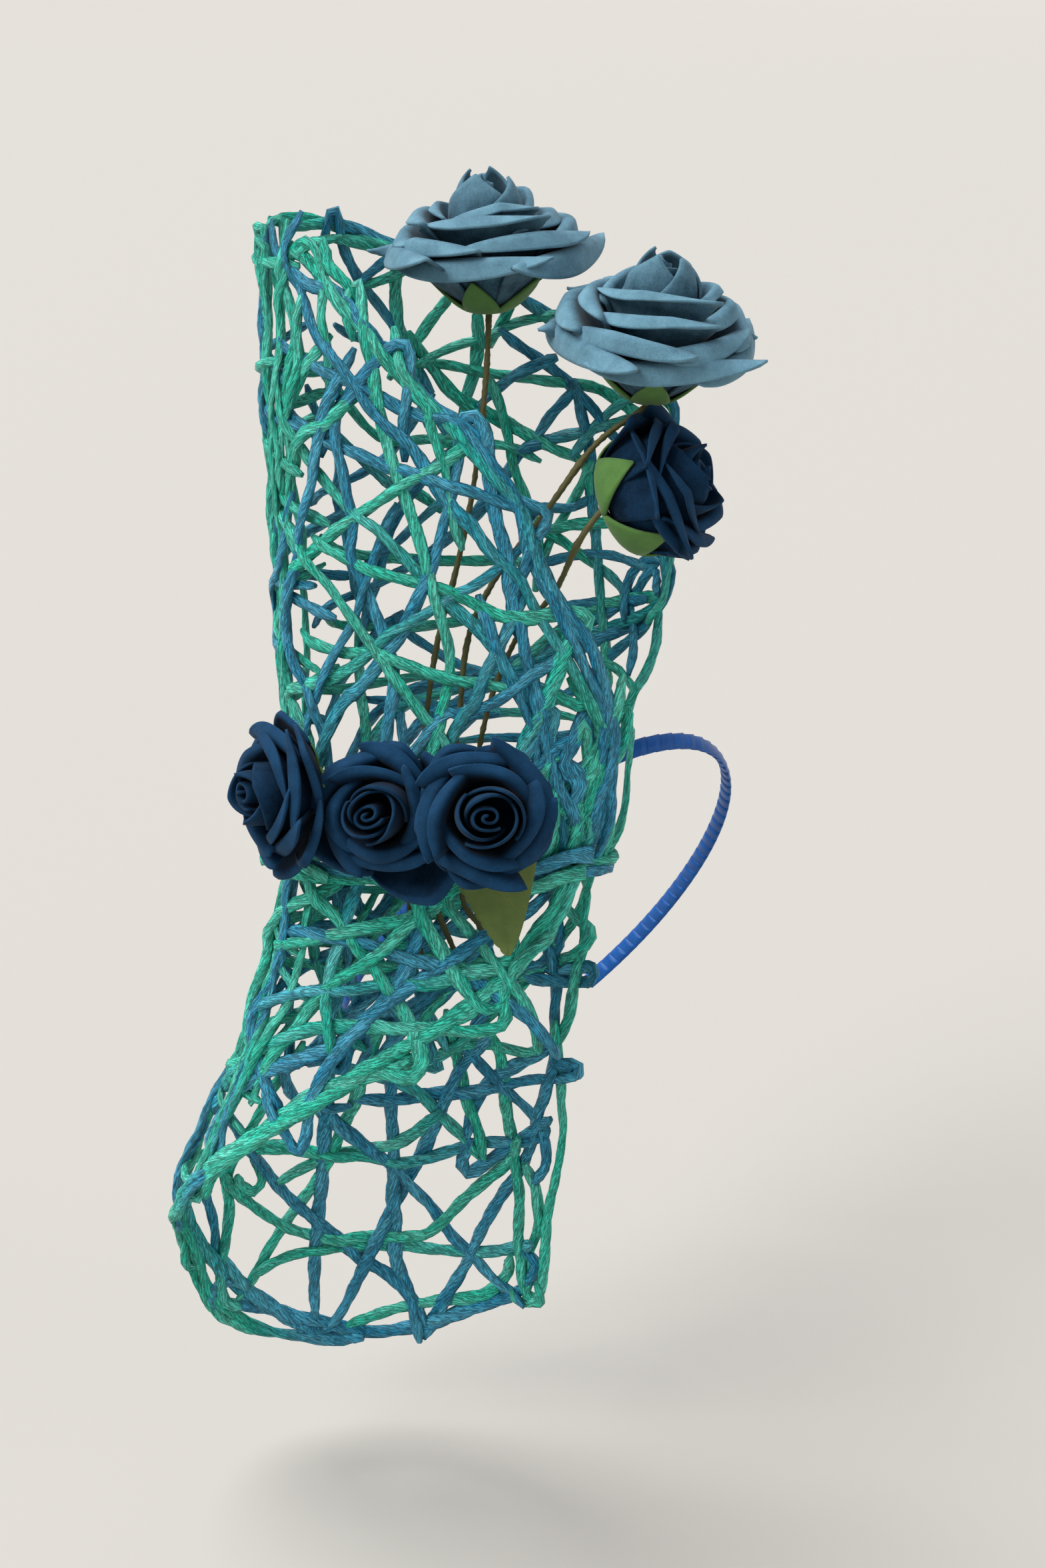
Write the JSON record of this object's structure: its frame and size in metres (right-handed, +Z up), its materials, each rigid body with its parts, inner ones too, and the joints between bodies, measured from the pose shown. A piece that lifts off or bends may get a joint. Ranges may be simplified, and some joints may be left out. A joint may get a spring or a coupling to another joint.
{
  "type": "fascinator",
  "caption": "Tall open fascinator: a scroll of irregular paper-cord lattice pinched at the waist, with foam roses on wire stems and at the waist, on a ribbon-wrapped headband.",
  "frame": {"origin": "the inner face of the headband at the top of its arch, where it sits on the head", "axes": "+Z up as worn, the wearer faces -Y, +X is the wearer's left; the scroll stands on the wearer's right and forehead"},
  "size_m": [0.2535, 0.1802, 0.4665],
  "materials": {
    "paper_cord": "twisted paper cord, blue-green, satin",
    "waist_cord": "flattened paper cord, teal",
    "satin_ribbon": "satin ribbon, wound",
    "stem_wire": "olive covered wire",
    "leaf_foam": "matt foam sheet, leaf green",
    "light_blue_foam": "matt foam sheet, dusty light blue",
    "navy_foam": "matt foam sheet, navy"
  },
  "bodies": {
    "root": {"upper_lattice": "paper_cord", "lower_lattice": "paper_cord", "waist_cord": "waist_cord", "headband": "satin_ribbon", "stem_top": "stem_wire", "stem_right": "stem_wire", "stem_side": "stem_wire", "rose_waist_left_stub": "stem_wire", "rose_waist_right_stub": "stem_wire", "leaf": "leaf_foam", "rose_top_bud": "light_blue_foam", "rose_top_inner_petals": "light_blue_foam", "rose_top_outer_petals": "light_blue_foam", "rose_top_calyx": "leaf_foam", "rose_right_bud": "light_blue_foam", "rose_right_inner_petals": "light_blue_foam", "rose_right_outer_petals": "light_blue_foam", "rose_right_calyx": "leaf_foam", "rose_side_bud": "navy_foam", "rose_side_inner_petals": "navy_foam", "rose_side_outer_petals": "navy_foam", "rose_side_calyx": "leaf_foam", "rose_waist_left_bud": "navy_foam", "rose_waist_left_inner_petals": "navy_foam", "rose_waist_left_outer_petals": "navy_foam", "rose_waist_left_calyx": "leaf_foam", "rose_waist_middle_bud": "navy_foam", "rose_waist_middle_inner_petals": "navy_foam", "rose_waist_middle_outer_petals": "navy_foam", "rose_waist_middle_calyx": "leaf_foam", "rose_waist_right_bud": "navy_foam", "rose_waist_right_inner_petals": "navy_foam", "rose_waist_right_outer_petals": "navy_foam", "rose_waist_right_calyx": "leaf_foam"}
  },
  "joints": []
}
